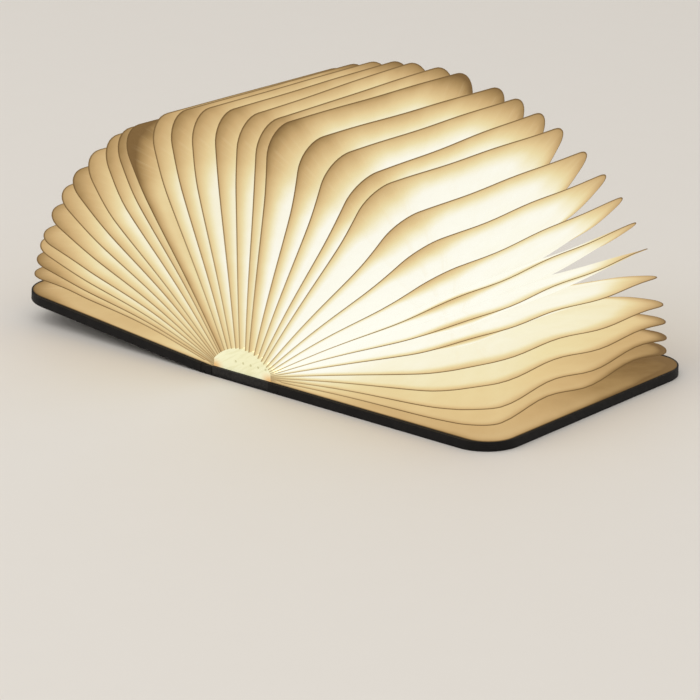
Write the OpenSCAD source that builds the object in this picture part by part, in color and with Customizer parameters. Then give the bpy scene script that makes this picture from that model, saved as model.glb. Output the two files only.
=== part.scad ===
// Folding book lamp. Two hard covers hinge on a spine that holds a half-moon light core.
// Paper strips, joined in turn along outer seams and inner folds, fan out between the covers.
// X runs across the open book, Y along its spine and Z up from the surface that it lies on.

/* [Covers] */
// Length of a cover from its hinge to its fore-edge
cover_len = 89; // [70:0.5:130]
// Thickness of the cover board
board_t = 2.2; // [1.5:0.1:3]
// Thickness of the covering cloth
cloth_t = 0.4; // [0.3:0.05:0.6]
// How far a cover reaches past the pages at head and tail
cover_overhang = 1.5; // [1:0.5:5]
// Radius of the covers' fore-edge corners
cover_corner_r = 13; // [6:1:20]
// Width of the cloth turned in over the board's inner face
turn_in = 9; // [5:1:12]
// Distance of each cover hinge from the middle of the spine
hinge_x = 16.2; // [15.6:0.1:18]
// Radius of the rolled cloth bead in each cover hinge
bead_r = 0.45; // [0.4:0.05:0.5]
// Bare cloth between the bead and the cover board
joint_w = 1.2; // [0.8:0.1:2]
// Angle by which the left cover is raised from flat
left_tilt = 5; // [0:1:40]

/* [Pages] */
// Height of the page strips along the spine
page_h = 104; // [98:1:160]
// Reach of the pages from their hinge to the fore-edge
page_len = 88; // [66:0.5:126]
// Width of a page strip from its outer seam to its inner fold
strip_w = 25; // [15:1:30]
// Radius of the pages' outer corners
page_corner_r = 14; // [8:1:20]
// Radius of the strips' inner corners
fold_corner_r = 6; // [2:1:8]
// Number of outer seams on each side of the fan
seams_per_side = 16; // [10:1:16]
// Width of the glued margin at an outer seam
seam_w = 2; // [1.5:0.1:3]
// Thickness of the glued margin
seam_t = 0.26; // [0.2:0.02:0.3]
// Thickness of one paper strip
paper_t = 0.14; // [0.1:0.01:0.16]

/* [Light core] */
// Width of the half-moon core
core_w = 25; // [22:0.5:26]
// Height of the half-moon above the spine board
core_h = 8.2; // [7.8:0.1:11]
// Height of the core's upright sides, below its arch
core_side_h = 2.6; // [2:0.1:3.5]
// Wall of the diffuser
diffuser_wall = 1.2; // [0.8:0.1:1.5]
// Thickness of the end caps' face plates
cap_t = 1.6; // [1.2:0.1:3]
// Depth of the end caps' plug inside the diffuser
cap_plug = 3; // [2:0.5:4]
// Thickness of the carrier's floor
carrier_t = 1; // [0.8:0.1:1.4]
// Width of the battery cell
cell_w = 14; // [10:0.5:15]
// Length of the battery cell
cell_len = 40; // [25:1:42]
// Thickness of the battery cell
cell_t = 2.8; // [2:0.1:3]
// Width of the control board
control_w = 14; // [11:0.5:15]
// Length of the control board
control_len = 34; // [20:1:36]
// Thickness of the control board
control_t = 1; // [0.8:0.1:1.2]
// Width of the aluminium strip that carries the LEDs
led_strip_w = 8; // [6:0.5:9]
// Thickness of the LED strip
led_strip_t = 0.8; // [0.6:0.1:1]
// Number of LEDs along the strip
led_count = 12; // [6:1:16]
// Width of one LED
led_w = 2.8; // [1.6:0.1:3]
// Length of one LED
led_len = 3.5; // [2:0.1:4]
// Thickness of one LED
led_t = 0.7; // [0.5:0.1:0.8]
// Number of vent holes in the front cap
vent_count = 5; // [0:1:5]
// Diameter of a vent hole
vent_d = 0.9; // [0.6:0.1:1.2]

/* [Magnets] */
// Diameter of the closing magnets
magnet_d = 8; // [5:0.5:10]
// Distance of the magnets from the cover's fore-edge
magnet_inset = 9; // [6:0.5:14]
// Distance of the magnets from the head and tail of the pages
magnet_end = 20; // [12:1:40]
// Thickness of the closing magnets
magnet_t = 1.5; // [1:0.1:1.8]

/* [Hidden] */
$fn = 48;

// Lean from upright of each seam, and of the cover last, with the covers laid open
RIGHT_LEAN = [0, 3.5, 7.5, 16.5, 23, 29.5, 34, 42, 48.5, 54.5, 60.5, 65.5, 70.5, 76, 80, 83.5, 86.5, 90];
LEFT_LEAN = [0, 1.5, 6.5, 13.5, 19.5, 25.5, 34, 36.5, 41.5, 48, 52.5, 58, 63.5, 68, 72, 75, 76.5, 85];

// Clearances
hinge_gap = 0.25;      // spine cloth to hinge bead
root_gap = 0.4;        // seam ends to the diffuser
seam_gap = 0.1;        // strips to the glued margin they leave
fit_gap = 0.1;         // plugs, boards and the cell to what holds them
socket_gap = 0.15;     // USB socket to its cut-out
web_apart = 0.5;       // least distance between two seams where their strips start
corner_steps = 5;      // facets in a page corner
arm_steps = 4;         // stations along each end of a strip, closest near the core

// Covers
cover_t = cloth_t + board_t + cloth_t;
cover_h = page_h + 2 * cover_overhang;
hinge_z = bead_r;
board_x = hinge_x + joint_w;
cover_end = hinge_x + cover_len;

// Spine and core
spine_half = hinge_x - bead_r - hinge_gap;
core_z = cloth_t + board_t + cloth_t;
spine_board_t = core_z - cloth_t;
arch_h = core_h - core_side_h;
core_r = (pow(core_w / 2, 2) + pow(arch_h, 2)) / (2 * arch_h);
core_mid_z = core_z + core_h - core_r;
floor_z = core_z + carrier_t;
inner_len = page_h - 2 * cap_t;

// Layout inside the core, from the front cap to the rear cap
cell_rise = 0.5;       // free height between the cell and the LED strip
plug_wall = 1;
plug_in = diffuser_wall + fit_gap;
pillar_r = 1.6;
screw_r = 0.7;
screw_head_r = 1.3;
screw_head_t = 0.4;
screw_end = 8.4;       // screw to the end of the LED strip
strip_len = inner_len - 2 * (cap_plug + 1);
screw_y = strip_len / 2 - screw_end;
cell_y = -screw_y + pillar_r + 2 * fit_gap;
cell_z = floor_z + fit_gap;
strip_z = cell_z + cell_t + cell_rise;
usb = [8.9, 7.3, 3.2];
usb_wall = 0.3;
usb_y = page_h / 2 - usb[1];
post_h = 0.4;
post_r = 1;
control_y = usb_y - control_len;
control_top = floor_z + post_h + control_t;
lead_r = 0.5;
lead_x = 3;
lead_lap = 2;
switch_size = [3, 1.5, 1];
switch_in = 2;
light_r = 0.9;
light_x = -6.6;
vent_x = -2.8;
vent_step = 3.3;
vent_z = core_z + 0.44 * core_h;
magnet_y = page_h / 2 - magnet_end;
sensor_r = 2;
sensor_t = 1;

// Fan of seams: index j runs from the left cover, -last, to the right cover, last
last = seams_per_side + 1;
closed_half = hinge_x - (cover_t - hinge_z);

function share(leans, u) =
  lookup(u * (len(leans) - 1), [for (k = [0 : len(leans) - 1]) [k, leans[k]]]) / leans[len(leans) - 1];
function lean(j) =
  j > 0 ? 90 * share(RIGHT_LEAN, j / last) : -(90 - left_tilt) * share(LEFT_LEAN, -j / last);
// Distance of the seam's hinge axis from the middle, and of its plane when the book is shut
function pivot_x(j) = hinge_x * sin(90 * abs(j) / last);
function shut_x(j) = closed_half * abs(j) / last;
// Where the glued margin starts: root_gap off the half-moon when the book is shut
function start_r(j) =
  let (over = pow(core_r + root_gap, 2) - pow(shut_x(j) - seam_t / 2, 2))
  max(core_z + root_gap, core_mid_z + sqrt(max(over, 0))) - hinge_z;
// Point in the plane of seam j, at r from its hinge, y along the spine and off towards the right
function seam_point(j, r, y, off) =
  let (a = lean(j), x = sign(j) * (shut_x(j) - pivot_x(j)) + off)
  [sign(j) * pivot_x(j) + x * cos(a) + r * sin(a), y, hinge_z - x * sin(a) + r * cos(a)];

// Distance from seam a's plane to seam b's at r, square to the line midway between them
function apart(a, b, r) =
  let (d = seam_point(b, r, 0, 0) - seam_point(a, r, 0, 0), mid = (lean(a) + lean(b)) / 2)
  d[0] * cos(mid) - d[2] * sin(mid);
// How far along the plane of seam j the half-moon's surface lies, as the book stands
function arc_reach(j) =
  let (foot = seam_point(j, 0, 0, 0) - [0, 0, core_mid_z],
    along = foot[0] * sin(lean(j)) + foot[2] * cos(lean(j)))
  sqrt(max(pow(along, 2) - pow(norm(foot), 2) + pow(core_r, 2), 0)) - along;
// Where the strips between two seams start: off the half-moon, and far enough apart
function web_start(a, b) =
  let (r = max(arc_reach(a), arc_reach(b)) + root_gap)
  r + max(0, web_apart - apart(a, b, r)) / (2 * sin((lean(b) - lean(a)) / 2));

// Three-sided path round a page: out along one end, round the fore-edge and back
function page_path(r0, r1, half, corner, steps = 1) = concat(
  [for (k = [0 : steps - 1]) [r0 + (r1 - corner - r0) * pow(k / steps, 2), -half]],
  [for (k = [0 : corner_steps]) let (a = 90 * k / corner_steps)
    [r1 - corner + corner * sin(a), -half + corner - corner * cos(a)]],
  [for (k = [0 : corner_steps]) let (a = 90 * k / corner_steps)
    [r1 - corner + corner * cos(a), half - corner + corner * sin(a)]],
  [for (k = [steps - 1 : -1 : 0]) [r0 + (r1 - corner - r0) * pow(k / steps, 2), half]]);
function reversed(list) = [for (k = [len(list) - 1 : -1 : 0]) list[k]];

// Plate in the XY plane with two rounded corners at its +X end
module rounded_plate(x0, x1, half, corner, t) {
  linear_extrude(height = t) union() {
    translate([x0, -half]) square([x1 - x0 - corner, 2 * half]);
    translate([x0, -half + corner]) square([x1 - x0, 2 * (half - corner)]);
    for (s = [-1, 1]) translate([x1 - corner, s * (half - corner)]) circle(r = corner);
  }
}

// Half-moon section of the core in the XY plane, from floor_y up and inset all round
module moon(inset, floor_y) {
  intersection() {
    translate([0, core_mid_z]) circle(r = core_r - inset, $fn = 96);
    translate([inset - core_w / 2, floor_y]) square([core_w - 2 * inset, core_r]);
  }
}

// Stands an XY section up and runs it along the spine from y0
module along_spine(y0, length) {
  translate([0, y0 + length, 0]) rotate([90, 0, 0]) linear_extrude(height = length) children();
}

module left_side() {
  translate([-hinge_x, 0, hinge_z]) rotate([0, left_tilt, 0]) translate([hinge_x, 0, -hinge_z])
    mirror([1, 0, 0]) children();
}

// ---- Covers ----

module cover_cloth() {
  translate([hinge_x, cover_h / 2, hinge_z]) rotate([90, 0, 0]) cylinder(r = bead_r, h = cover_h);
  translate([hinge_x, -cover_h / 2, 0]) cube([joint_w + cloth_t, cover_h, cloth_t]);
  difference() {
    rounded_plate(board_x, cover_end, cover_h / 2, cover_corner_r, cover_t);
    translate([0, 0, cloth_t]) cover_inside(board_t);
    translate([0, 0, cloth_t + board_t]) endpaper_outline(2 * cloth_t);
  }
}

// The board's own outline, open towards the spine
module cover_inside(t) {
  rounded_plate(board_x, cover_end - cloth_t, cover_h / 2 - cloth_t, cover_corner_r - cloth_t, t);
}

module endpaper_outline(t) {
  rounded_plate(board_x, cover_end - turn_in, cover_h / 2 - turn_in,
    max(cover_corner_r - turn_in, 1), t);
}

module magnet_places() {
  for (s = [-1, 1]) translate([cover_end - magnet_inset, s * magnet_y, cloth_t + board_t - magnet_t])
    children();
}

module sensor_place() {
  translate([board_x + 2 * sensor_r, control_y + switch_in + switch_size[1] / 2,
    cloth_t + board_t - sensor_t])
    children();
}

module cover_board(with_sensor) {
  difference() {
    translate([0, 0, cloth_t]) cover_inside(board_t);
    magnet_places() cylinder(d = magnet_d, h = magnet_t + 1);
    if (with_sensor) sensor_place() cylinder(r = sensor_r, h = sensor_t + 1);
  }
}

module endpaper() {
  translate([0, 0, cloth_t + board_t]) endpaper_outline(cloth_t);
}

module magnets() {
  magnet_places() cylinder(d = magnet_d, h = magnet_t);
}

module right_cover_cloth() { color("#151313") cover_cloth(); }
module right_cover_board() { color("#9a8b74") cover_board(false); }
module right_endpaper() { color("#efe0bd") endpaper(); }
module right_magnets() { color("silver") magnets(); }
module left_cover_cloth() { color("#151313") left_side() cover_cloth(); }
module left_cover_board() { color("#9a8b74") left_side() cover_board(true); }
module left_endpaper() { color("#efe0bd") left_side() endpaper(); }
module left_magnets() { color("silver") left_side() magnets(); }
module sensing_magnet() {
  color("silver") left_side() sensor_place() cylinder(r = sensor_r, h = sensor_t);
}

module spine_cloth() {
  color("#151313") translate([-spine_half, -cover_h / 2, 0]) cube([2 * spine_half, cover_h, cloth_t]);
}

module spine_board() {
  color("#9a8b74") translate([-core_w / 2, -cover_h / 2 + cloth_t, cloth_t])
    cube([core_w, cover_h - 2 * cloth_t, spine_board_t]);
}

// ---- Light core ----

// Floor of the core, with pillars for the LED strip
module core_carrier() {
  color("#f2ead6") difference() {
    union() {
      translate([-core_w / 2, -inner_len / 2, core_z]) cube([core_w, inner_len, carrier_t]);
      for (s = [-1, 1]) translate([0, s * screw_y, core_z])
        cylinder(r = pillar_r, h = strip_z - core_z);
    }
    for (s = [-1, 1]) translate([0, s * screw_y, floor_z]) cylinder(r = screw_r, h = strip_z);
  }
}

module diffuser() {
  color("#fff3cf") along_spine(-inner_len / 2, inner_len) difference() {
    moon(0, floor_z);
    moon(diffuser_wall, floor_z - 1);
  }
}

// Face plate of a cap, and the plug that slides into the diffuser above the carrier
module cap_body(side) {
  along_spine(side < 0 ? -page_h / 2 : page_h / 2 - cap_t, cap_t) moon(0, core_z);
  along_spine(side < 0 ? -page_h / 2 + cap_t : page_h / 2 - cap_t - cap_plug, cap_plug)
    difference() {
      moon(plug_in, floor_z + fit_gap);
      moon(plug_in + plug_wall, floor_z - 1);
    }
}

module front_cap() {
  color("#fff3cf") difference() {
    cap_body(-1);
    if (vent_count > 0) for (k = [0 : vent_count - 1])
      translate([vent_x + k * vent_step, -page_h / 2 - 1, vent_z])
        rotate([-90, 0, 0]) cylinder(d = vent_d, h = cap_t + 2, $fn = 24);
  }
}

module rear_cap() {
  color("#fff3cf") difference() {
    cap_body(1);
    translate([-usb[0] / 2 - socket_gap, page_h / 2 - cap_t - 1, floor_z - socket_gap])
      cube([usb[0] + 2 * socket_gap, cap_t + 2, usb[2] + 2 * socket_gap]);
    translate([light_x, page_h / 2 - cap_t - 1, floor_z + light_r])
      rotate([-90, 0, 0]) cylinder(r = light_r + fit_gap, h = cap_t + 2, $fn = 24);
  }
}

module led_strip() {
  color("#d8dadb") difference() {
    translate([-led_strip_w / 2, -strip_len / 2, strip_z]) cube([led_strip_w, strip_len, led_strip_t]);
    for (s = [-1, 1]) translate([0, s * screw_y, strip_z - 1])
      cylinder(r = screw_r + fit_gap, h = led_strip_t + 2, $fn = 24);
  }
}

module leds() {
  run = 2 * (screw_y - screw_head_r - led_len);
  color("#ffd76a") for (k = [0 : led_count - 1])
    translate([-led_w / 2, run * (k / (led_count - 1) - 0.5) - led_len / 2, strip_z + led_strip_t])
      cube([led_w, led_len, led_t]);
}

module strip_screws() {
  color("silver") for (s = [-1, 1]) translate([0, s * screw_y, 0]) {
    translate([0, 0, strip_z + led_strip_t]) cylinder(r = screw_head_r, h = screw_head_t);
    translate([0, 0, floor_z]) cylinder(r = screw_r, h = strip_z + led_strip_t - floor_z);
  }
}

module battery_cell() {
  color("#8f9aa3") translate([-cell_w / 2, cell_y, cell_z]) cube([cell_w, cell_len, cell_t]);
}

module battery_leads() {
  color("#b3261e") for (s = [-1, 1])
    translate([s * lead_x, cell_y + cell_len, control_top + lead_r]) rotate([-90, 0, 0])
      cylinder(r = lead_r, h = control_y + lead_lap - cell_y - cell_len, $fn = 24);
}

// Board on four feet, with a hole for the pillar that stands in its way
module control_board() {
  color("#2f6b3c") {
    difference() {
      translate([-control_w / 2, control_y, floor_z + post_h])
        cube([control_w, control_len, control_t]);
      translate([0, screw_y, floor_z]) cylinder(r = pillar_r + fit_gap, h = cell_t);
    }
    for (x = [-1, 1], y = [2 * post_r, control_len - 2 * post_r])
      translate([x * (control_w / 2 - 2 * post_r), control_y + y, floor_z])
        cylinder(r = post_r, h = post_h, $fn = 24);
  }
}

module magnet_switch() {
  color("#222222") translate([-control_w / 2 + 0.5, control_y + switch_in, control_top])
    cube(switch_size);
}

// Receptacle at the end of the control board, open towards the rear
module usb_socket() {
  color("#c9ccce") translate([-usb[0] / 2, usb_y, floor_z]) difference() {
    cube(usb);
    translate([usb_wall, 1, usb_wall]) cube([usb[0] - 2 * usb_wall, usb[1], usb[2] - 2 * usb_wall]);
  }
}

module charge_light() {
  color("#e8f4ff") translate([light_x, usb_y, floor_z + light_r])
    rotate([-90, 0, 0]) cylinder(r = light_r, h = usb[1], $fn = 24);
}

// ---- Pages ----

// Glued margin along the outer edge of the two strips that meet there
module seam(j) {
  color("#8a6a3c")
    translate([sign(j) * pivot_x(j), 0, hinge_z]) rotate([0, lean(j), 0])
      translate([sign(j) * (shut_x(j) - pivot_x(j)), 0, 0])
        rotate([0, -90, 0]) linear_extrude(height = seam_t, center = true)
          polygon(concat(
            page_path(start_r(j), page_len, page_h / 2, page_corner_r),
            reversed(page_path(start_r(j), page_len - seam_w, page_h / 2 - seam_w,
              page_corner_r - seam_w))));
}

// Two strips between seams a and b, meeting in the inner fold
module web(a, b) {
  r0 = web_start(a, b);
  edge = page_path(r0, page_len, page_h / 2, page_corner_r, arm_steps);
  fold = page_path(r0, page_len - strip_w, page_h / 2 - strip_w, fold_corner_r, arm_steps);
  stations = [for (k = [0 : len(edge) - 1])
    let (e = edge[k], f = fold[k],
      room = apart(a, b, e[0]),
      g = min(seam_t / 2 + seam_gap, 0.3 * room),
      t = min(paper_t, 0.15 * room),
      c = f + (e - f) * min(t / (room / 2 - g), 0.5))
    [seam_point(a, e[0], e[1], g),
     (seam_point(a, f[0], f[1], 0) + seam_point(b, f[0], f[1], 0)) / 2,
     seam_point(b, e[0], e[1], -g),
     seam_point(b, e[0], e[1], -g - t),
     (seam_point(a, c[0], c[1], 0) + seam_point(b, c[0], c[1], 0)) / 2,
     seam_point(a, e[0], e[1], g + t)]];
  n = len(stations);
  points = [for (s = stations, p = s) p];
  // Both faces of a strip are split along the same diagonals
  sides = [for (s = [0 : n - 2], k = [0 : 5])
    let (p = 6 * s + k, q = 6 * s + (k + 1) % 6)
    each (k < 3 ? [[p, q, p + 6], [q, q + 6, p + 6]] : [[p, q + 6, p + 6], [p, q, q + 6]])];
  cap = [[0, 5, 1], [1, 5, 4], [1, 4, 2], [2, 4, 3]];
  far = [for (f = cap) [for (k = [2, 1, 0]) f[k] + 6 * (n - 1)]];
  polyhedron(points = points, faces = concat(sides, cap, far));
}

module page_webs_right() { color("#f6e3b4") for (j = [1 : last - 1]) web(j, j + 1); }
module page_webs_left() { color("#f6e3b4") for (j = [1 : last - 1]) web(-j - 1, -j); }
module page_web_middle() { color("#f6e3b4") web(-1, 1); }

spine_cloth();
spine_board();
right_cover_cloth();
right_cover_board();
right_endpaper();
right_magnets();
left_cover_cloth();
left_cover_board();
left_endpaper();
left_magnets();
sensing_magnet();
core_carrier();
diffuser();
front_cap();
rear_cap();
led_strip();
leds();
strip_screws();
battery_cell();
battery_leads();
control_board();
magnet_switch();
usb_socket();
charge_light();
page_webs_right();
page_webs_left();
page_web_middle();
for (i = [1 : seams_per_side]) {
  seam(i);
  seam(-i);
}
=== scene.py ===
import math

import bmesh
import bpy
import numpy as np
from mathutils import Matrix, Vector


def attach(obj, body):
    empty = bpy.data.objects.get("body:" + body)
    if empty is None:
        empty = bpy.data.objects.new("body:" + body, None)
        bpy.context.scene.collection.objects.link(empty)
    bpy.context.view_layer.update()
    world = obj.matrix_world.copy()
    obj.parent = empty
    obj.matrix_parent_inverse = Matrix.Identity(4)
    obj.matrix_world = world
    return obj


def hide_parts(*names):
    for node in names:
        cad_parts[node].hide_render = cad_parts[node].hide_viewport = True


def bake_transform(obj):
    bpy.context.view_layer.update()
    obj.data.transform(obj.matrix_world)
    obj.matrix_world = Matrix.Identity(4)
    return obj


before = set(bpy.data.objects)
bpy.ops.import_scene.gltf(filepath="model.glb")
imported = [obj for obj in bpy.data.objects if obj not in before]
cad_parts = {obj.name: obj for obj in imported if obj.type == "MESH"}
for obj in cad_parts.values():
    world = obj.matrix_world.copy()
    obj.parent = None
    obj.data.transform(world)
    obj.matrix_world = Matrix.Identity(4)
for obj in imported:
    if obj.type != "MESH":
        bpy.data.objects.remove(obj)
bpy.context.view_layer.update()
mm = 0.001
print("frame loaded,", len(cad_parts), "nodes")


# ---- colours are written as on screen and turned to linear here
def toLinear(c):
    return c / 12.92 if c <= 0.04045 else ((c + 0.055) / 1.055) ** 2.4


def tint(r, g, b):
    return (toLinear(r / 255), toLinear(g / 255), toLinear(b / 255), 1)


def grey(level):
    return (level, level, level, 1)


# ---- small helpers for node trees
def feed(tree, socket, value):
    # a socket takes either a link or a plain value
    if isinstance(value, bpy.types.NodeSocket):
        tree.links.new(value, socket)
    else:
        socket.default_value = value


def addNode(tree, kind, inputs=None, **settings):
    n = tree.nodes.new(kind)
    for key, value in settings.items():
        setattr(n, key, value)
    for key, value in (inputs or {}).items():
        feed(tree, n.inputs[key], value)
    return n


def mathNode(tree, operation, a, b=0.0):
    return addNode(tree, "ShaderNodeMath", {0: a, 1: b}, operation=operation).outputs[0]


def plus(tree, a, b):
    return mathNode(tree, "ADD", a, b)


def minus(tree, a, b):
    return mathNode(tree, "SUBTRACT", a, b)


def times(tree, a, b):
    return mathNode(tree, "MULTIPLY", a, b)


def rangeNode(tree, value, fromMin, fromMax, toMin=0.0, toMax=1.0):
    # eased from one range to another, and held at both ends
    inputs = {"Value": value, "From Min": fromMin, "From Max": fromMax, "To Min": toMin, "To Max": toMax}
    return addNode(tree, "ShaderNodeMapRange", inputs, interpolation_type="SMOOTHSTEP").outputs["Result"]


def mixNode(tree, share, a, b, blend="MIX"):
    # sockets 0, 6 and 7 are the share and the two colours
    inputs = {0: share, 6: a, 7: b}
    return addNode(tree, "ShaderNodeMix", inputs, data_type="RGBA", blend_type=blend).outputs[2]


def noiseNode(tree, vector, scale, **others):
    inputs = {"Vector": vector, "Scale": scale}
    inputs.update({key.title(): value for key, value in others.items()})
    return addNode(tree, "ShaderNodeTexNoise", inputs)


def stretched(tree, vector, factors):
    return addNode(tree, "ShaderNodeVectorMath", {0: vector, 1: factors}, operation="MULTIPLY").outputs[0]


def rampNode(tree, value, stops):
    n = addNode(tree, "ShaderNodeValToRGB", {"Fac": value})
    ramp = n.color_ramp
    while len(ramp.elements) < len(stops):
        ramp.elements.new(0.5)
    for element, (at, colour) in zip(ramp.elements, stops):
        element.position = at
        element.color = colour
    return n.outputs["Color"]


def newGroup(name, inputs, outputs):
    # an input is (name, kind, value to start with), an output is (name, kind)
    tree = bpy.data.node_groups.new(name, "ShaderNodeTree")
    for socketName, kind, value in inputs:
        socket = tree.interface.new_socket(socketName, in_out="INPUT", socket_type=kind)
        if value is not None:
            socket.default_value = value
    for socketName, kind in outputs:
        tree.interface.new_socket(socketName, in_out="OUTPUT", socket_type=kind)
    return tree, tree.nodes.new("NodeGroupInput"), tree.nodes.new("NodeGroupOutput")


def useGroup(tree, group, inputs):
    return addNode(tree, "ShaderNodeGroup", inputs, node_tree=group)


def newMaterial(name):
    material = bpy.data.materials.new(name)
    material.use_nodes = True
    tree = material.node_tree
    tree.nodes.clear()
    shader = tree.nodes.new("ShaderNodeBsdfPrincipled")
    out = tree.nodes.new("ShaderNodeOutputMaterial")
    tree.links.new(shader.outputs["BSDF"], out.inputs["Surface"])
    return material, tree, shader


def addRelief(tree, shader, height, relief):
    # relief is the strength and the depth in millimetres
    strength, depth = relief
    bump = addNode(tree, "ShaderNodeBump", {"Height": height, "Strength": strength, "Distance": depth * mm})
    tree.links.new(bump.outputs["Normal"], shader.inputs["Normal"])


def objectVector(tree):
    return addNode(tree, "ShaderNodeTexCoord").outputs["Object"]


# ---- small helpers for meshes and other data
def addObject(name, data):
    thing = bpy.data.objects.new(name, data)
    bpy.context.scene.collection.objects.link(thing)
    return thing


def gridMesh(name, columns, rows, half):
    # a flat square, half its width out from the middle each way
    mesh = bpy.data.meshes.new(name)
    work = bmesh.new()
    bmesh.ops.create_grid(work, x_segments=columns, y_segments=rows, size=half)
    work.to_mesh(mesh)
    work.free()
    return mesh


# ---- shared effects, each with a mask between two colours and a height
maskOutputs = [("Mask", "NodeSocketFloat"), ("Height", "NodeSocketFloat")]
noiseSpan = (0.3, 0.7)  # nearly all of a noise lies between these
fibre = {"broadScale": 0.18, "fineShare": 0.65, "broadShare": 0.35}


def fibreGroup():
    # short fibres of paper or board
    tree, given, result = newGroup(
        "fibres",
        [
            ("Vector", "NodeSocketVector", None),
            ("Scale", "NodeSocketFloat", 900.0),
            ("Stretch", "NodeSocketFloat", 4.0),
        ],
        maskOutputs,
    )
    vector, scale, stretch = given.outputs["Vector"], given.outputs["Scale"], given.outputs["Stretch"]
    factors = addNode(tree, "ShaderNodeCombineXYZ", {"X": 1.0, "Y": stretch, "Z": 1.0}).outputs[0]
    drawn = stretched(tree, vector, factors)
    fine = noiseNode(tree, drawn, scale, detail=3.0, roughness=0.65, distortion=0.4)
    broad = noiseNode(tree, vector, times(tree, scale, fibre["broadScale"]), detail=2.0)
    fineMask = times(tree, fine.outputs["Fac"], fibre["fineShare"])
    mixed = plus(tree, fineMask, times(tree, broad.outputs["Fac"], fibre["broadShare"]))
    tree.links.new(rangeNode(tree, mixed, *noiseSpan), result.inputs["Mask"])
    tree.links.new(fine.outputs["Fac"], result.inputs["Height"])
    return tree


weave = {"wobbleScale": 140.0, "wobble": 0.0007, "slubScale": 420.0, "thinnest": 0.6}


def weaveGroup():
    # plain weave of book cloth, with thinner and thicker threads
    tree, given, result = newGroup(
        "clothWeave",
        [("Vector", "NodeSocketVector", None), ("Threads", "NodeSocketFloat", 2400.0)],
        maskOutputs,
    )
    vector, threads = given.outputs["Vector"], given.outputs["Threads"]
    wobble = noiseNode(tree, vector, weave["wobbleScale"], detail=2.0).outputs["Color"]
    shift = addNode(tree, "ShaderNodeVectorMath", {0: wobble, "Scale": weave["wobble"]}, operation="SCALE")
    moved = addNode(tree, "ShaderNodeVectorMath", {0: vector, 1: shift.outputs[0]}, operation="ADD")
    x, y, z = addNode(tree, "ShaderNodeSeparateXYZ", {0: moved.outputs[0]}).outputs
    across = mathNode(tree, "SINE", times(tree, plus(tree, x, z), threads))
    along = mathNode(tree, "SINE", times(tree, y, threads))
    height = rangeNode(tree, times(tree, across, along), -1.0, 1.0)
    slub = noiseNode(tree, vector, weave["slubScale"], detail=3.0).outputs["Fac"]
    thickness = rangeNode(tree, slub, *noiseSpan, weave["thinnest"], 1.0)
    tree.links.new(times(tree, height, thickness), result.inputs["Mask"])
    tree.links.new(height, result.inputs["Height"])
    return tree


mould = {"cloudScale": 60.0}


def mouldGroup():
    # fine skin of a moulded part and broad, faint unevenness
    tree, given, result = newGroup(
        "mouldedSkin",
        [("Vector", "NodeSocketVector", None), ("Grain", "NodeSocketFloat", 2600.0)],
        maskOutputs,
    )
    grain = noiseNode(tree, given.outputs["Vector"], given.outputs["Grain"], detail=2.0)
    cloud = noiseNode(tree, given.outputs["Vector"], mould["cloudScale"], detail=3.0)
    tree.links.new(rangeNode(tree, cloud.outputs["Fac"], *noiseSpan), result.inputs["Mask"])
    tree.links.new(grain.outputs["Fac"], result.inputs["Height"])
    return tree


brush = {"squeeze": (1.0, 0.06, 1.0)}


def brushGroup():
    # fine scratches along Y on rolled or drawn metal
    tree, given, result = newGroup(
        "drawnMetal",
        [("Vector", "NodeSocketVector", None), ("Fineness", "NodeSocketFloat", 1800.0)],
        maskOutputs,
    )
    squeezed = stretched(tree, given.outputs["Vector"], brush["squeeze"])
    lines = noiseNode(tree, squeezed, given.outputs["Fineness"], detail=2.0)
    tree.links.new(rangeNode(tree, lines.outputs["Fac"], *noiseSpan), result.inputs["Mask"])
    tree.links.new(lines.outputs["Fac"], result.inputs["Height"])
    return tree


fibres = fibreGroup()
clothWeave = weaveGroup()
mouldedSkin = mouldGroup()
drawnMetal = brushGroup()
print("shared effects built")


# ---- the fan, in millimetres and degrees: leaf j stands at seam j, minus on the left, and the covers are
# the last on each side; a leaf is one sheet from the fold before its seam to the fold after it
fan = {
    "rightLean": [0, 3.5, 7.5, 16.5, 23, 29.5, 34, 42, 48.5, 54.5, 60.5, 65.5, 70.5, 76, 80, 83.5, 86.5, 90],
    "leftLean": [0, 1.5, 6.5, 13.5, 19.5, 25.5, 34, 36.5, 41.5, 48, 52.5, 58, 63.5, 68, 72, 75, 76.5, 85],
    "hingeX": 16.2,  # the covers' hinges, either side of the middle
    "hingeZ": 0.45,
    "closedHalf": 13.65,  # half the fan's thickness when shut
    "reach": 88.0,  # from the hinge to a seam's outer edge
    "halfHeight": 52.0,
    "corner": 10.0,
    "foldReach": 63.0,  # the same for an inner fold
    "foldHalf": 27.0,
    "foldCorner": 6.0,
    "coreHalf": 12.5,  # the core's arch, its upright sides and its floor
    "coreRadius": 16.75,
    "coreMid": -5.55,
    "coreFloor": 3.0,
    "rootGap": 0.4,  # between the shut paper and the core
    "glueMargin": 2.0,
    "stripWidth": 25.0,
    "layerHalf": 0.07,  # half the way between two layers at a glued edge
    "paper": 0.12,
    "leastSlope": 0.01,  # keeps an upright seam off a division by zero
}
last = len(fan["rightLean"]) - 1


def lean(j):
    return fan["rightLean"][j] if j > 0 else -fan["leftLean"][-j]


def sign(j):
    return (j > 0) - (j < 0)


def pivotX(j):
    return fan["hingeX"] * math.sin(math.pi / 2 * abs(j) / last)


def shutX(j):
    return fan["closedHalf"] * abs(j) / last


def rootReach(j):
    # reach at which the seam clears the core when the book is shut
    over = (fan["coreRadius"] + fan["rootGap"]) ** 2 - shutX(j) ** 2
    return max(fan["coreFloor"] + fan["rootGap"], fan["coreMid"] + math.sqrt(max(over, 0))) - fan["hingeZ"]


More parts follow.
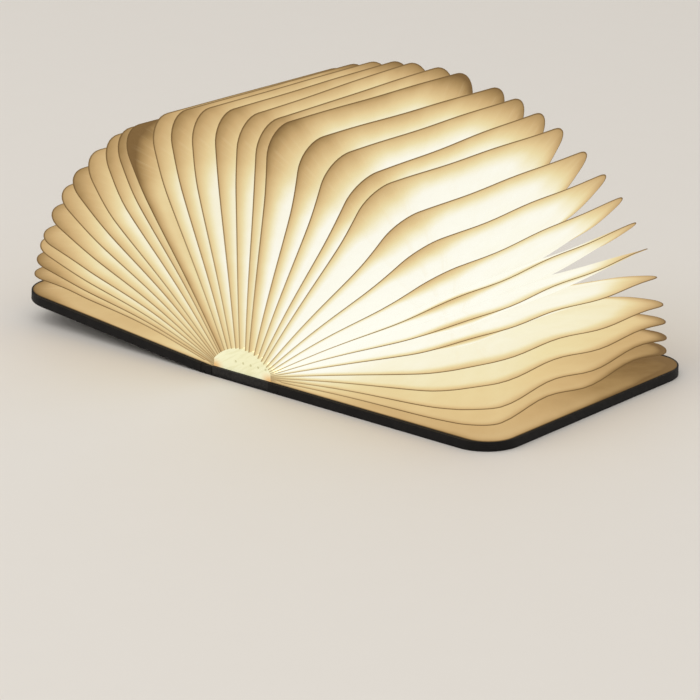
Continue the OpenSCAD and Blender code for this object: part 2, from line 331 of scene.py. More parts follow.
def coreHit(j):
    # reach at which the plane of seam j comes out of the core's arch or its upright side
    a = math.radians(abs(lean(j)))
    x = pivotX(j) + (shutX(j) - pivotX(j)) * math.cos(a)
    z = fan["hingeZ"] - (shutX(j) - pivotX(j)) * math.sin(a) - fan["coreMid"]
    along = x * math.sin(a) + z * math.cos(a)
    arch = math.sqrt(along ** 2 - x * x - z * z + fan["coreRadius"] ** 2) - along
    return min(arch, (fan["coreHalf"] - x) / max(math.sin(a), fan["leastSlope"]))


# how each leaf leaves its straight seam, in degrees outward: bow half way, near corner, far corner, ripple
drape = {
    -16: (3.5, 5.0, 4.5, 0.35),
    -15: (3.0, 3.0, 3.5, 0.3),
    -14: (3.0, 2.5, 3.0, 0.2),
    -13: (3.5, 4.0, 2.5, 0.2),
    -12: (3.0, 2.5, 2.0, 0.1),
    -11: (3.0, 2.0, 1.5, 0.1),
    -10: (3.0, 2.0, 1.0, 0.1),
    -9: (2.5, -0.5, 0.5, 0.1),
    -8: (2.5, -1.0, 0.5, 0.1),
    -7: (2.5, 0.0, 0.5, 0.1),
    -6: (1.5, 0.0, 0.5, 0.1),
    -5: (1.5, -0.5, 1.0, 0.1),
    -4: (1.5, 0.0, 1.5, 0.1),
    -3: (1.5, -0.5, 2.0, 0.1),
    -2: (0.5, 0.0, 3.0, 0.1),
    -1: (-0.5, -1.5, 3.5, 0.05),
    1: (1.0, 1.0, -2.0, 0.05),
    2: (0.5, -0.5, -0.5, 0.1),
    3: (1.0, -0.5, 0.0, 0.1),
    4: (1.0, 0.0, -1.0, 0.1),
    5: (1.5, 1.0, -1.5, 0.1),
    6: (1.0, 0.0, -0.5, 0.1),
    7: (1.5, 0.5, -1.0, 0.1),
    8: (1.5, 1.0, -1.0, 0.15),
    9: (2.0, 1.5, -1.0, 0.15),
    10: (1.5, 1.0, -1.0, 0.2),
    11: (1.5, 1.0, 0.0, 0.25),
    12: (0.5, -0.5, 1.5, 0.3),
    13: (0.5, -0.5, 2.0, 0.4),
    14: (1.0, -0.5, 1.5, 0.55),
    15: (1.5, 0.5, 1.0, 0.8),
    16: (1.0, 0.5, 0.5, 0.9),
}
# where the bow starts and is deepest, how much of it the far end loses, and the ripples along the edge;
# from leaf shortFrom on, each leaf on the right is shorter than the one before
droop = {
    "root": 15.0,
    "middle": 62.0,
    "farLoss": 0.5,
    "ripples": 2.3,
    "phaseStep": 0.4,
    "shortFrom": 9,
    "shortStep": 0.6,
}


def ease(share):
    share = max(0.0, min(1.0, share))
    return share * share * (3 - 2 * share)


def outwardLean(j, r, y):
    # the leaf's lean at one place, in degrees away from upright
    if abs(j) == last:
        return abs(lean(j))
    bow, near, far, ripple = drape[j]
    along = (y + fan["halfHeight"]) / (2 * fan["halfHeight"])
    middle = ease((r - droop["root"]) / (droop["middle"] - droop["root"]))
    tip = ease((r - droop["middle"]) / (fan["reach"] - droop["middle"]))
    bend = bow * (1 - droop["farLoss"] * ease(along)) * (middle - tip)
    bend += (near + (far - near) * ease(along)) * tip
    phase = 2 * math.pi * droop["ripples"] * along + droop["phaseStep"] * j
    return abs(lean(j)) + bend + ripple * (r / fan["reach"]) ** 2 * math.sin(phase)


def edgeReach(j):
    if not droop["shortFrom"] < j < last:
        return fan["reach"]
    return fan["reach"] - droop["shortStep"] * (j - droop["shortFrom"])


def seamPoint(j, r, y, off):
    a = math.radians(sign(j) * outwardLean(j, r, y))
    x = sign(j) * (shutX(j) - pivotX(j)) + off
    return Vector(
        (
            sign(j) * pivotX(j) + x * math.cos(a) + r * math.sin(a),
            y,
            fan["hingeZ"] - x * math.sin(a) + r * math.cos(a),
        )
    )


# the root of a leaf when the book is shut: its clearance from the core, which grows from leaf to leaf,
# the height it keeps over the spine and the radius it keeps round the hinge
rootLie = {"clear": 0.12, "clearStep": 0.025, "floor": 2.95, "slack": 0.01, "radius": 3.6, "steps": 180}


def overHinge(j, place):
    # the sheet curves over the hinge instead of running straight past it
    away = Vector((place.x - sign(j) * pivotX(j), 0, place.z - fan["hingeZ"]))
    return place + away * (max(1.0, rootLie["radius"] / away.length) - 1)


def rootTurn(j, place):
    # how many degrees a point of the root can turn inward before it meets the core or the spine
    turns = np.radians(np.linspace(0, abs(lean(j)), rootLie["steps"]))
    x, z = sign(j) * place.x - pivotX(j), place.z - fan["hingeZ"]
    atX = pivotX(j) + x * np.cos(turns) - z * np.sin(turns)
    atZ = fan["hingeZ"] + x * np.sin(turns) + z * np.cos(turns)
    clear = rootLie["clear"] + rootLie["clearStep"] * abs(j)
    inArch = atX ** 2 + (atZ - fan["coreMid"]) ** 2 < (fan["coreRadius"] + clear) ** 2
    inSides = atX < fan["coreHalf"] + clear
    sunk = atZ < min(rootLie["floor"], place.z) - rootLie["slack"]
    met = np.flatnonzero(inArch & inSides | sunk)
    return math.degrees(turns[max(met[0] - 1, 0)]) if met.size else abs(lean(j))


# rows along each stretch of a seam; the straight's rows stand a little closer towards the corner
stations = {"root": 9, "straight": 20, "bend": 9, "top": 18, "crowding": 0.85}


def roundPath(hitAt, rootAt, reach, half, corner):
    # the U of an outer seam or inner fold as (reach, y), from the front of the core round to the back
    roots, rises, bends, tops = (stations[key] for key in ("root", "straight", "bend", "top"))
    straight = reach - corner - rootAt
    front = [(hitAt + (rootAt - hitAt) * i / roots, -half) for i in range(roots)]
    front += [(rootAt + straight * (i / rises) ** stations["crowding"], -half) for i in range(rises)]
    turns = [i / bends * math.pi / 2 for i in range(bends)]
    bend = [(reach - corner + corner * math.sin(a), -half + corner - corner * math.cos(a)) for a in turns]
    top = [(reach, (-half + corner) * (1 - i / tops) + (half - corner) * i / tops) for i in range(tops + 1)]
    back = [(r, -y) for r, y in reversed(front + bend)]
    return front + bend + top + back


# share of the strip's width from seam to fold, close together over the glued margin
acrossShares = [0.0, 0.009, 0.02, 0.045, 0.08, 0.12, 0.17, 0.23, 0.3, 0.38, 0.47, 0.56, 0.66, 0.77, 0.88, 1.0]
valley = {"margin": fan["glueMargin"] / fan["stripWidth"], "straight": 0.7, "curved": 0.3}


def sideShare(t):
    # 0 on the seam's own plane, 1 half way to the neighbour; leaves the glued margin gently
    s = max(0.0, (t - valley["margin"]) / (1 - valley["margin"]))
    return valley["straight"] * s + valley["curved"] * s * s


def leafColumns(j, sides):
    # columns of (place, share of the seam's turn, place on the paper), from fold over seam to fold
    hitAt, rootAt = coreHit(j), rootReach(j)
    edge = roundPath(hitAt, rootAt, edgeReach(j), fan["halfHeight"], fan["corner"])
    fold = roundPath(hitAt, rootAt, fan["foldReach"], fan["foldHalf"], fan["foldCorner"])
    along = [0.0]
    for (r0, y0), (r1, y1) in zip(edge, edge[1:]):
        along.append(along[-1] + math.hypot(r1 - r0, y1 - y0))
    columns = []
    for side in sides:
        beside = j + side or -j  # the neighbour; there is no seam 0 in the middle
        for t in acrossShares if side > 0 else reversed(acrossShares):
            column = []
            toNext = sideShare(t)
            for (edgeR, edgeY), (foldR, foldY), run in zip(edge, fold, along):
                r, y = edgeR + (foldR - edgeR) * t, edgeY + (foldY - edgeY) * t
                own = seamPoint(j, r, y, side * fan["layerHalf"])
                other = seamPoint(beside, r, y, -side * fan["layerHalf"])
                place = own.lerp((own + other) / 2, toNext)
                # the share of the seam's own turn, so that every bend is gone when the book is shut
                ownLean, nextLean = outwardLean(j, r, y), outwardLean(beside, r, y)
                if beside == -j:
                    turn = (1 - toNext) * ownLean / abs(lean(j))
                else:
                    turn = (ownLean + 0.5 * toNext * (nextLean - ownLean)) / abs(lean(j))
                # as the book shuts, the root comes to lie on the core while the rest turns on
                if abs(j) == last:
                    turn *= ease((r - hitAt) / (rootAt - hitAt))
                elif r < rootAt:
                    place = overHinge(j, place)
                    turn = min(turn, rootTurn(j, place) / abs(lean(j)))
                column.append((place * mm, turn, (run, t * fan["stripWidth"], r - hitAt)))
            columns.append(column)
    return columns, along[-1]


def gridPiece(name, columns, thickness):
    # one sheet from columns of points, with its place on the paper kept per vertex
    rows = len(columns[0])
    mesh = bpy.data.meshes.new(name)
    points = [p for column in columns for p, _, _ in column]
    faces = []
    for c in range(len(columns) - 1):
        for i in range(rows - 1):
            a = c * rows + i
            faces.append((a, a + 1, a + rows + 1, a + rows))
    mesh.from_pydata(points, [], faces)
    mesh.update()
    piece = addObject(name, mesh)
    onPaper = np.array([m for column in columns for _, _, m in column], np.float32)
    mesh.attributes.new("paperPlace", "FLOAT_VECTOR", "POINT").data.foreach_set("vector", onPaper.ravel())
    for polygon in mesh.polygons:
        polygon.use_smooth = True
    solid = piece.modifiers.new("paper", "SOLIDIFY")
    solid.thickness = thickness * mm
    solid.offset = 0
    return piece


# ---- paper: cream and lit through as glow, a thin brown glued seam, painted tan shade beside it and at the corners, near white inside where the painted light is strongest;
# spans are in millimetres on the sheet, shares run along the stops
paper = {
    "stops": [
        (0.0, tint(126, 98, 60)),
        (0.1, tint(168, 137, 90)),
        (0.25, tint(207, 175, 124)),
        (0.45, tint(231, 206, 154)),
        (0.6, tint(239, 224, 176)),
        (0.76, tint(247, 240, 208)),
        (1.0, tint(254, 253, 242)),
    ],
    "cornerFromMiddle": 49.0,  # an outer corner, along the edge
    "cornerSpan": (3.0, 26.0),
    "cornerEvening": 3.0,  # leaves that fade towards the rear have fainter corners
    "farSpan": (10.0, 80.0),  # out from the core
    "width": 7.0,  # the painted tan shade beside the seam, wider far out and at the corners
    "widerFar": 6.0,
    "widerCorner": 7.0,
    "start": 0.42,  # the seam itself, with painted shade darker far out and at the corners
    "paintedShadeFar": 0.14,
    "paintedShadeCorner": 0.17,
    "cloudScale": 0.06,  # broad unevenness
    "cloudShare": 0.2,
    "limitCloud": 0.12,
    "coreSpan": (2.0, 45.0),  # painted light, brighter by the core
    "coreLift": 0.3,
    "softness": 0.15,
    "rearSpan": (-48.0, 60.0),  # painted shade, duller from front to rear, along the edge
    "wrinkleNarrow": 0.1,
    "wrinkleScale": 0.4,
    "wrinkleNoise": (0.52, 0.66),
    "wrinkleSpan": (1.0, 4.0),
    "wrinkleHighlight": tint(246, 226, 184),
    "wrinkleHighlightShare": 0.11,
    "seamLine": tint(112, 86, 50),  # the glued edge
    "lineSpan": (0.1, 0.45),
    "lineReach": (8.0, 60.0),
    "lineShare": (0.45, 0.85),
    "grain": {"Scale": 1.1, "Stretch": 3.0},
    "speck": tint(200, 165, 110),
    "speckShare": 0.05,
    "ownShare": 0.2,  # of the colour, in the room's light
    "glowShare": 0.8,  # and as glow
    "roughness": 0.85,
    "specular": 0.15,
    "creaseHeight": 0.6,
    "grainHeight": 0.25,
    "relief": (0.35, 0.4),
}


def paperGroup():
    tree, given, result = newGroup(
        "litPaper",
        [
            ("Place", "NodeSocketVector", None),
            ("Tone", "NodeSocketFloat", 0.0),
            ("Limit", "NodeSocketFloat", 1.0),
            ("Fade", "NodeSocketFloat", 0.0),
            ("PathLength", "NodeSocketFloat", 250.0),
        ],
        [("Color", "NodeSocketColor"), ("Crease", "NodeSocketFloat")],
    )
    place, fade = given.outputs["Place"], given.outputs["Fade"]
    along, depth, reach = addNode(tree, "ShaderNodeSeparateXYZ", {0: place}).outputs
    # near one of the two outer corners, measured along the edge; less so on leaves that fade
    fromMiddle = minus(tree, along, times(tree, given.outputs["PathLength"], 0.5))
    fromCorner = minus(tree, mathNode(tree, "ABSOLUTE", fromMiddle), paper["cornerFromMiddle"])
    corner = rangeNode(tree, mathNode(tree, "ABSOLUTE", fromCorner), *paper["cornerSpan"], 1.0, 0.0)
    corner = times(tree, corner, minus(tree, 1.0, times(tree, fade, paper["cornerEvening"])))
    far = rangeNode(tree, reach, *paper["farSpan"])
    cloud = noiseNode(tree, place, paper["cloudScale"], detail=3.0, roughness=0.6).outputs["Fac"]
    cloud = minus(tree, cloud, 0.5)
    # painted shade by the seam, brighter towards the fold
    wider = plus(tree, times(tree, far, paper["widerFar"]), times(tree, corner, paper["widerCorner"]))
    paintedShade = plus(tree, times(tree, far, paper["paintedShadeFar"]), times(tree, corner, paper["paintedShadeCorner"]))
    band = mathNode(tree, "DIVIDE", depth, plus(tree, paper["width"], wider))
    share = plus(tree, band, minus(tree, paper["start"], paintedShade))
    share = plus(tree, share, times(tree, cloud, paper["cloudShare"]))
    share = plus(tree, share, given.outputs["Tone"])
    # each leaf has its own limit on the painted light, which is higher by the core
    limit = plus(tree, given.outputs["Limit"], times(tree, cloud, paper["limitCloud"]))
    limit = plus(tree, limit, rangeNode(tree, reach, *paper["coreSpan"], paper["coreLift"], 0.0))
    soft = addNode(tree, "ShaderNodeMath", {0: share, 1: limit, 2: paper["softness"]}, operation="SMOOTH_MIN")
    # and painted shade, duller towards the rear
    rear = rangeNode(tree, fromMiddle, *paper["rearSpan"])
    share = minus(tree, soft.outputs[0], times(tree, rear, fade))
    colour = rampNode(tree, share, paper["stops"])
    # fine wrinkles that run in from the corner, as relief and as painted highlight streaks
    narrow = times(tree, depth, paper["wrinkleNarrow"])
    drawn = addNode(tree, "ShaderNodeCombineXYZ", {"X": along, "Y": narrow, "Z": 0.0}).outputs[0]
    wrinkleHighlight = noiseNode(tree, drawn, paper["wrinkleScale"], detail=2.0, roughness=0.5).outputs["Fac"]
    inside = times(tree, corner, rangeNode(tree, depth, *paper["wrinkleSpan"]))
    pull = times(tree, rangeNode(tree, wrinkleHighlight, *paper["wrinkleNoise"]), inside)
    colour = mixNode(tree, times(tree, pull, paper["wrinkleHighlightShare"]), colour, paper["wrinkleHighlight"])
    # the glued edge itself, a thin brown line, painted fainter by the core where the light is strongest
    atEdge = rangeNode(tree, depth, *paper["lineSpan"], 1.0, 0.0)
    line = times(tree, atEdge, rangeNode(tree, reach, *paper["lineReach"], *paper["lineShare"]))
    colour = mixNode(tree, line, colour, paper["seamLine"])
    tree.links.new(colour, result.inputs["Color"])
    tree.links.new(pull, result.inputs["Crease"])
    return tree


litPaper = paperGroup()


def paperMaterial(name, tone, limit, fade, pathLength):
    material, tree, shader = newMaterial(name)
    place = addNode(tree, "ShaderNodeAttribute", attribute_name="paperPlace").outputs["Vector"]
    inputs = {"Place": place, "Tone": tone, "Limit": limit, "Fade": fade, "PathLength": pathLength}
    lit = useGroup(tree, litPaper, inputs)
    grain = useGroup(tree, fibres, {"Vector": place, **paper["grain"]})
    specks = times(tree, grain.outputs["Mask"], paper["speckShare"])
    speckled = mixNode(tree, specks, lit.outputs["Color"], paper["speck"])
    own = mixNode(tree, 1.0, speckled, grey(paper["ownShare"]), "MULTIPLY")
    tree.links.new(own, shader.inputs["Base Color"])
    tree.links.new(speckled, shader.inputs["Emission Color"])
    shader.inputs["Emission Strength"].default_value = paper["glowShare"]
    shader.inputs["Roughness"].default_value = paper["roughness"]
    shader.inputs["Specular IOR Level"].default_value = paper["specular"]
    creases = times(tree, lit.outputs["Crease"], paper["creaseHeight"])
    height = plus(tree, creases, times(tree, grain.outputs["Height"], paper["grainHeight"]))
    addRelief(tree, shader, height, paper["relief"])
    return material


# each leaf's tone at its edge against the others, partly its own and partly painted light and shade, and how
# bright its painted light gets towards the fold
leafToneAndShade = {
    -17: (-0.12, 0.34), -16: (-0.08, 0.52), -15: (-0.1, 0.62), -14: (0.06, 0.76), -13: (-0.02, 0.66),
    -12: (-0.04, 0.74), -11: (0.02, 0.8), -10: (-0.07, 0.72), -9: (0.02, 0.84), -8: (-0.02, 0.82),
    -7: (-0.06, 0.74), -6: (-0.26, 0.5), -5: (0.02, 0.86), -4: (-0.06, 0.82), -3: (0.0, 0.88),
    -2: (-0.06, 0.84), -1: (-0.02, 0.9), 1: (-0.02, 0.92), 2: (-0.12, 0.96), 3: (-0.06, 1.0),
    4: (0.0, 1.0), 5: (0.03, 1.0), 6: (0.06, 1.0), 7: (0.08, 1.0), 8: (0.1, 1.0), 9: (0.12, 1.0),
    10: (0.12, 1.0), 11: (0.12, 1.0), 12: (0.08, 0.96), 13: (0.06, 0.84), 14: (0.02, 0.68),
    15: (-0.03, 0.52), 16: (-0.08, 0.42), 17: (-0.16, 0.3),
}
rearLoss = {"least": 0.04, "more": 0.26, "fromLeaf": 11, "leaves": 5}


def rearFade(j):
    # the low leaves on the right lose the light towards the rear
    return rearLoss["least"] + rearLoss["more"] * ease((j - rearLoss["fromLeaf"]) / rearLoss["leaves"])


def makeLeaf(j):
    side = "right" if j > 0 else "left"
    onCover = abs(j) == last
    columns, length = leafColumns(j, [-sign(j)] if onCover else [-1, 1])
    name = f"{side}CoverStrip" if onCover else f"{side}Leaf{abs(j)}"
    leaf = gridPiece(name, columns, fan["paper"])
    finish = f"litPaper{side.title()}{abs(j)}"
    leaf.data.materials.append(paperMaterial(finish, *leafToneAndShade[j], rearFade(j), length))
    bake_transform(leaf)
    if onCover:
        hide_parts(f"page_webs_{side}")
    else:
        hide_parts(f"seam_{side}_{abs(j)}")
    return leaf


leaves = {j: makeLeaf(j) for j in range(-last, last + 1) if j}
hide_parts("page_web_middle")
print("leaves made:", len(leaves))


# ---- materials of the covers, the core and what is inside it; each is of one kind, which brings its effect,
# relief and plain shader values, and scales are the effect's own inputs
cloth = {
    "effect": clothWeave,
    "relief": (0.5, 0.1),
    "shader": {"Sheen Weight": 0.03, "Specular IOR Level": 0.2},
}
board = {"effect": fibres, "relief": (0.3, 0.1), "shader": {}}
moulded = {"effect": mouldedSkin, "relief": (0.2, 0.05), "shader": {}}
metal = {"effect": drawnMetal, "relief": (0.15, 0.03), "shader": {"Metallic": 1.0}}


def surfaceMaterial(settings):
    # colour and roughness both go from their first value to their second with the effect's mask
    kind = settings["kind"]
    material, tree, shader = newMaterial(settings["name"])
    skin = useGroup(tree, kind["effect"], {"Vector": objectVector(tree), **settings.get("scales", {})})
    mask = skin.outputs["Mask"]
    colour = mixNode(tree, mask, *settings["colours"])
    tree.links.new(colour, shader.inputs["Base Color"])
    tree.links.new(rangeNode(tree, mask, 0.0, 1.0, *settings["rough"]), shader.inputs["Roughness"])
    for socket, value in kind["shader"].items():
        shader.inputs[socket].default_value = value
    if "glow" in settings:
        tree.links.new(colour, shader.inputs["Emission Color"])
        shader.inputs["Emission Strength"].default_value = settings["glow"]
    addRelief(tree, shader, skin.outputs["Height"], kind["relief"])
    return material


def dress(settings, material):
    for name in settings["nodes"]:
        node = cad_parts[name]
        if not node.material_slots:
            node.data.materials.append(material)
        for materialSlot in node.material_slots:
            materialSlot.material = material


bookCloth = {
    "name": "bookCloth",
    "kind": cloth,
    "scales": {"Threads": 9000.0},
    "colours": (tint(8, 7, 7), tint(25, 22, 21)),
    "rough": (0.85, 0.6),
    "nodes": ["spine_cloth", "right_cover_cloth", "left_cover_cloth"],
}
# near-black boards: a dark lining, and painted shade where the spine board's sides show in the joints
darkBoard = {
    "name": "darkBoard",
    "kind": board,
    "scales": {"Scale": 1000.0, "Stretch": 2.0},
    "colours": (tint(26, 23, 21), tint(16, 14, 13)),
    "rough": (0.7, 0.92),
    "nodes": ["spine_board", "right_cover_board", "left_cover_board"],
}
endPaper = {
    "name": "endPaper",
    "kind": board,
    "scales": {"Scale": 1200.0, "Stretch": 3.0},
    "colours": (tint(232, 208, 158), tint(206, 176, 122)),
    "rough": (0.7, 0.92),
    "nodes": ["right_endpaper", "left_endpaper"],
}
coreShell = {
    "name": "coreShell",
    "kind": moulded,
    "colours": (tint(250, 236, 196), tint(240, 220, 172)),
    "rough": (0.4, 0.55),
    "glow": 0.25,
    "nodes": ["core_carrier"],
}
milkyCover = {
    "name": "milkyCover",
    "kind": moulded,
    "colours": (tint(255, 246, 214), tint(252, 236, 190)),
    "rough": (0.35, 0.5),
    "glow": 0.7,
    "nodes": ["diffuser"],
}
bareStrip = {
    "name": "bareStrip",
    "kind": metal,
    "scales": {"Fineness": 1500.0},
    "colours": (tint(226, 226, 224), tint(196, 197, 198)),
    "rough": (0.3, 0.45),
    "nodes": ["led_strip"],
}
litLed = {
    "name": "litLed",
    "kind": moulded,
    "colours": (tint(255, 240, 196), tint(255, 232, 176)),
    "rough": (0.3, 0.4),
    "glow": 0.8,
    "nodes": ["leds"],
}
zincScrew = {
    "name": "zincScrew",
    "kind": metal,
    "scales": {"Fineness": 2200.0},
    "colours": (tint(205, 207, 210), tint(165, 168, 172)),
    "rough": (0.25, 0.4),
    "nodes": ["strip_screws"],
}
foilPouch = {
    "name": "foilPouch",
    "kind": metal,
    "scales": {"Fineness": 700.0},
    "colours": (tint(198, 202, 206), tint(168, 172, 178)),
    "rough": (0.3, 0.5),
    "nodes": ["battery_cell"],
}
leadSleeve = {
    "name": "leadSleeve",
    "kind": moulded,
    "colours": (tint(176, 42, 36), tint(150, 30, 28)),
    "rough": (0.4, 0.5),
    "nodes": ["battery_leads"],
}
boardMask = {
    "name": "boardMask",
    "kind": moulded,
    "colours": (tint(46, 122, 66), tint(34, 98, 52)),
    "rough": (0.3, 0.45),
    "nodes": ["control_board"],
}
chipBody = {
    "name": "chipBody",
    "kind": moulded,
    "colours": (tint(42, 42, 44), tint(28, 28, 30)),
    "rough": (0.4, 0.55),
    "nodes": ["magnet_switch"],
}
socketShell = {
    "name": "socketShell",
    "kind": metal,
    "scales": {"Fineness": 2400.0},
    "colours": (tint(222, 224, 226), tint(186, 189, 192)),
    "rough": (0.22, 0.38),
    "nodes": ["usb_socket"],
}
nickelDisc = {
    "name": "nickelDisc",
    "kind": metal,
    "scales": {"Fineness": 1600.0},
    "colours": (tint(216, 214, 208), tint(186, 184, 178)),
    "rough": (0.2, 0.32),
    "nodes": ["right_magnets", "left_magnets", "sensing_magnet"],
}
lightPipe = {
    "name": "lightPipe",
    "kind": moulded,
    "colours": (tint(226, 240, 255), tint(205, 226, 246)),
    "rough": (0.15, 0.25),
    "glow": 0.3,
    "nodes": ["charge_light"],
}
coverPieces = [bookCloth, darkBoard, endPaper, nickelDisc]
corePieces = [coreShell, milkyCover, bareStrip, litLed, zincScrew]
powerPieces = [foilPouch, leadSleeve, boardMask, chipBody, socketShell, lightPipe]
for settings in coverPieces + corePieces + powerPieces:
    dress(settings, surfaceMaterial(settings))

# ---- the two end caps of the core, in millimetres
litCap = {
    "name": "litCap",
    "light": tint(250, 248, 212),
    "dark": tint(244, 240, 198),
    "slantMark": tint(226, 220, 170),
    "slantMarkAngle": 30.0,
    "slantMarkDraw": (0.12, 0.12, 1.0),
    "slantMarkScale": 1500.0,
    "slantMarkNoise": (0.45, 0.7),
    "slantMarkShare": 0.35,
    "warm": tint(238, 176, 92),
    "warmAcross": (7.5, 12.0),
    "warmLow": (3.2, 6.4),
    "warmShare": 0.8,
    "ventX": -2.8,  # the first of five vents
    "ventStep": 3.3,
    "ventZ": 6.61,
    "ventRadius": 0.36,
    "ventSoft": 0.15,
    "lastVent": 4.0,  # counted from 0
    "ventColour": tint(160, 148, 108),
    "ownShare": 0.35,
    "glow": 0.68,
    "rough": (0.4, 0.55),
    "relief": (0.2, 0.05),
    "nodes": ["front_cap", "rear_cap"],
}


def nearVent(tree, x, y, z):
    # 1 inside the five vents of the front cap, which no light reaches
    step = litCap["ventStep"] * mm
    count = mathNode(tree, "DIVIDE", minus(tree, x, litCap["ventX"] * mm), step)
    index = mathNode(tree, "MAXIMUM", mathNode(tree, "ROUND", count), 0.0)
    index = mathNode(tree, "MINIMUM", index, litCap["lastVent"])
    aside = times(tree, minus(tree, count, index), step)
    above = minus(tree, z, litCap["ventZ"] * mm)
    distance = mathNode(tree, "SQRT", plus(tree, times(tree, aside, aside), times(tree, above, above)))
    rim = litCap["ventRadius"]
    vent = rangeNode(tree, distance, rim * mm, (rim + litCap["ventSoft"]) * mm, 1.0, 0.0)
    return times(tree, vent, mathNode(tree, "LESS_THAN", y, 0.0))


def capMaterial():
    # moulded cap with painted warm light at its two lower corners, and faint slanting darker marks
    material, tree, shader = newMaterial(litCap["name"])
    place = objectVector(tree)
    x, y, z = addNode(tree, "ShaderNodeSeparateXYZ", {0: place}).outputs
    skin = useGroup(tree, mouldedSkin, {"Vector": place})
    colour = mixNode(tree, skin.outputs["Mask"], litCap["light"], litCap["dark"])
    angle = math.radians(litCap["slantMarkAngle"])
    inputs = {"Vector": place, "Angle": angle}
    turned = addNode(tree, "ShaderNodeVectorRotate", inputs, rotation_type="Y_AXIS").outputs[0]
    drawn = stretched(tree, turned, litCap["slantMarkDraw"])
    slantMark = noiseNode(tree, drawn, litCap["slantMarkScale"], detail=1.0).outputs["Fac"]
    marks = times(tree, rangeNode(tree, slantMark, *litCap["slantMarkNoise"]), litCap["slantMarkShare"])
    colour = mixNode(tree, marks, colour, litCap["slantMark"])
    outer, inner = litCap["warmAcross"]
    across = rangeNode(tree, mathNode(tree, "ABSOLUTE", x), outer * mm, inner * mm)
    bottom, top = litCap["warmLow"]
    low = rangeNode(tree, z, bottom * mm, top * mm, 1.0, 0.0)
    colour = mixNode(tree, times(tree, times(tree, across, low), litCap["warmShare"]), colour, litCap["warm"])
    colour = mixNode(tree, nearVent(tree, x, y, z), colour, litCap["ventColour"])
    own = mixNode(tree, 1.0, colour, grey(litCap["ownShare"]), "MULTIPLY")
    tree.links.new(own, shader.inputs["Base Color"])
    tree.links.new(colour, shader.inputs["Emission Color"])
    shader.inputs["Emission Strength"].default_value = litCap["glow"]
    roughness = rangeNode(tree, skin.outputs["Mask"], 0.0, 1.0, *litCap["rough"])
    tree.links.new(roughness, shader.inputs["Roughness"])
    addRelief(tree, shader, skin.outputs["Height"], litCap["relief"])
    return material


dress(litCap, capMaterial())
print("node finishes set")

# moulded and cloth-covered edges are never quite sharp; widths in millimetres
edgeRounding = {
    "widths": {
        "right_cover_cloth": 0.4,
        "left_cover_cloth": 0.4,
        "front_cap": 0.2,
        "rear_cap": 0.2,
        "spine_board": 0.3,
    },
    "segments": 3,
    "sharperThan": 50,
}
for name, width in edgeRounding["widths"].items():
    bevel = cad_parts[name].modifiers.new("rounding", "BEVEL")
    bevel.width = width * mm
    bevel.segments = edgeRounding["segments"]
    bevel.limit_method = "ANGLE"
    bevel.angle_limit = math.radians(edgeRounding["sharperThan"])


# ---- gutter cloth: fills each joint between the spine board and a cover board, and bends up to its cover's tilt
gutter = {
    "inner": 12.55,
    "outer": 17.38,
    "top": 2.9,
    "hollow": 0.12,
    "bottom": 0.42,
    "beadTop": 1.0,  # over the covers' cloth bead at the hinge
    "beadHalf": 0.8,
    "halfHeight": 53.3,
    "rows": 24,
    "steps": 14,
    "leftTilt": 5.0,  # the left cover stands this many degrees up
}


def gutterProfile():
    # (x, z) along the hollow top and back underneath, over the cloth's bead at the hinge
    n, width = gutter["steps"], gutter["outer"] - gutter["inner"]
    profile = []
    for i in range(n + 1):
        sag = gutter["hollow"] * math.sin(math.pi * i / n)
        profile.append((gutter["inner"] + width * i / n, gutter["top"] - sag))
    for i in range(n + 1):
        x = gutter["outer"] - width * i / n
        overBead = max(0.0, 1 - ((x - fan["hingeX"]) / gutter["beadHalf"]) ** 2)
        profile.append((x, gutter["bottom"] + (gutter["beadTop"] - gutter["bottom"]) * math.sqrt(overBead)))
    return profile


def makeGutter(name, side, tilt):
    profile = gutterProfile()
    rows, half, n = gutter["rows"], gutter["halfHeight"], len(profile)
    points, faces = [], []
    for row in range(rows + 1):
        y = -half + 2 * half * row / rows
        for x, z in profile:
            a = math.radians(tilt) * ease((x - gutter["inner"]) / (gutter["outer"] - gutter["inner"]))
            dx, dz = x - fan["hingeX"], z - fan["hingeZ"]
            turnedX = fan["hingeX"] + dx * math.cos(a) - dz * math.sin(a)
            turnedZ = fan["hingeZ"] + dx * math.sin(a) + dz * math.cos(a)
            points.append(Vector((side * turnedX, y, turnedZ)) * mm)
    for row in range(rows):
        for i in range(n):
            a, b = row * n + i, row * n + (i + 1) % n
            faces.append((a, b, b + n, a + n))
    faces.append(tuple(range(n)))
    faces.append(tuple(reversed(range(rows * n, rows * n + n))))
    mesh = bpy.data.meshes.new(name)
    mesh.from_pydata(points, [], faces)
    work = bmesh.new()
    work.from_mesh(mesh)
    bmesh.ops.recalc_face_normals(work, faces=work.faces)
    work.to_mesh(mesh)
    work.free()
    piece = addObject(name, mesh)
    mesh.materials.append(bpy.data.materials[bookCloth["name"]])
    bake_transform(piece)


makeGutter("rightGutterCloth", 1, 0.0)
makeGutter("leftGutterCloth", -1, gutter["leftTilt"])
print("gutter cloth made")


# ---- dust gauze behind the five vents
gauze = {
    "left": -4.6,
    "right": 10.95,
    "low": 5.7,
    "high": 7.2,
    "back": -50.2,
    "sag": 0.05,
    "thickness": 0.12,
    "columns": 24,
    "rows": 4,
}
gauzeCloth = {
    "name": "gauzeCloth",
    "kind": cloth,
    "scales": {"Threads": 16000.0},
    "colours": (tint(96, 86, 62), tint(140, 126, 92)),
    "rough": (0.9, 0.7),
}


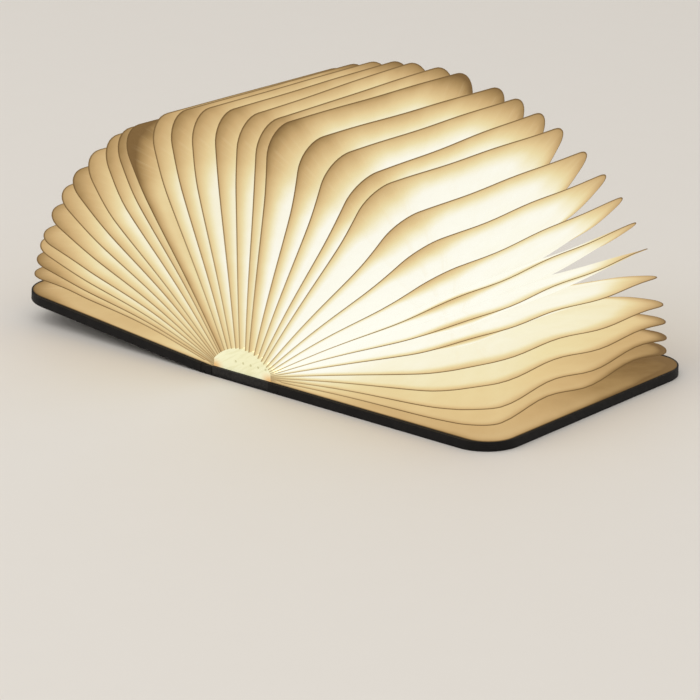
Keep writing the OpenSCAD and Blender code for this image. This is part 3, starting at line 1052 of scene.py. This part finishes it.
def makeGauze():
    mesh = gridMesh("ventGauze", gauze["columns"], gauze["rows"], 0.5)
    for v in mesh.vertices:
        u, w = v.co.x + 0.5, v.co.y + 0.5  # 0 to 1 across and up
        x = gauze["left"] + (gauze["right"] - gauze["left"]) * u
        y = gauze["back"] + gauze["sag"] * math.sin(math.pi * u) * math.sin(math.pi * w)
        v.co = Vector((x, y, gauze["low"] + (gauze["high"] - gauze["low"]) * w)) * mm
    piece = addObject("ventGauze", mesh)
    piece.modifiers.new("cloth", "SOLIDIFY").thickness = gauze["thickness"] * mm
    mesh.materials.append(surfaceMaterial(gauzeCloth))
    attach(piece, "light_core")


makeGauze()
print("vent gauze made")


# ---- floor, light and camera, in metres
studio = {
    "floor": tint(226, 222, 216),
    "floorDust": tint(214, 208, 200),
    "dustShare": 0.03,
    "floorGrain": 300.0,
    "floorRoughness": 0.6,
    "floorHalf": 6.0,
    "floorSquares": 8,
    "floorDrop": 0.0001,
    "room": tint(255, 252, 248),
    "roomStrength": 0.78,
    "lamps": {
        "key": {"place": (-0.5, -0.7, 1.1), "size": 0.9, "power": 3.6},
        "fill": {"place": (0.9, -0.5, 0.7), "size": 1.2, "power": 1.6},
    },
    "lampAim": (0, 0, 0.04),
    "cameraAt": (0.676, -0.780, 0.347),
    "azimuth": 40.85,
    "elevation": 18.69,
    "lens": 165.7,
    "sensor": 36,
    "nearest": 0.01,
}


def makeFloor():
    squares = studio["floorSquares"]
    floor = addObject("floor", gridMesh("floor", squares, squares, studio["floorHalf"]))
    floor.location = (0, 0, -studio["floorDrop"])
    material, tree, shader = newMaterial("paleFloor")
    skin = useGroup(tree, mouldedSkin, {"Vector": objectVector(tree), "Grain": studio["floorGrain"]})
    dust = times(tree, skin.outputs["Mask"], studio["dustShare"])
    tree.links.new(mixNode(tree, dust, studio["floor"], studio["floorDust"]), shader.inputs["Base Color"])
    shader.inputs["Roughness"].default_value = studio["floorRoughness"]
    floor.data.materials.append(material)


def makeLamp(name, settings):
    light = bpy.data.lights.new(name, "AREA")
    light.size = settings["size"]
    light.energy = settings["power"]
    lamp = addObject(name, light)
    lamp.location = settings["place"]
    aim = Vector(studio["lampAim"]) - Vector(settings["place"])
    lamp.rotation_euler = aim.to_track_quat("-Z", "Y").to_euler()


def makeRoom():
    world = bpy.data.worlds.new("room")
    bpy.context.scene.world = world
    world.use_nodes = True
    background = world.node_tree.nodes["Background"]
    background.inputs["Color"].default_value = studio["room"]
    background.inputs["Strength"].default_value = studio["roomStrength"]
    bpy.context.scene.view_settings.view_transform = "Standard"


def makeCamera():
    camera = addObject("camera", bpy.data.cameras.new("camera"))
    bpy.context.scene.camera = camera
    camera.location = studio["cameraAt"]
    az, el = math.radians(studio["azimuth"]), math.radians(studio["elevation"])
    ahead = Vector((-math.sin(az) * math.cos(el), math.cos(az) * math.cos(el), -math.sin(el)))
    camera.rotation_euler = ahead.to_track_quat("-Z", "Y").to_euler()
    camera.data.lens = studio["lens"]
    camera.data.sensor_width = studio["sensor"]
    camera.data.clip_start = studio["nearest"]


makeFloor()
for name, settings in studio["lamps"].items():
    makeLamp(name, settings)
makeRoom()
makeCamera()
print("studio set")
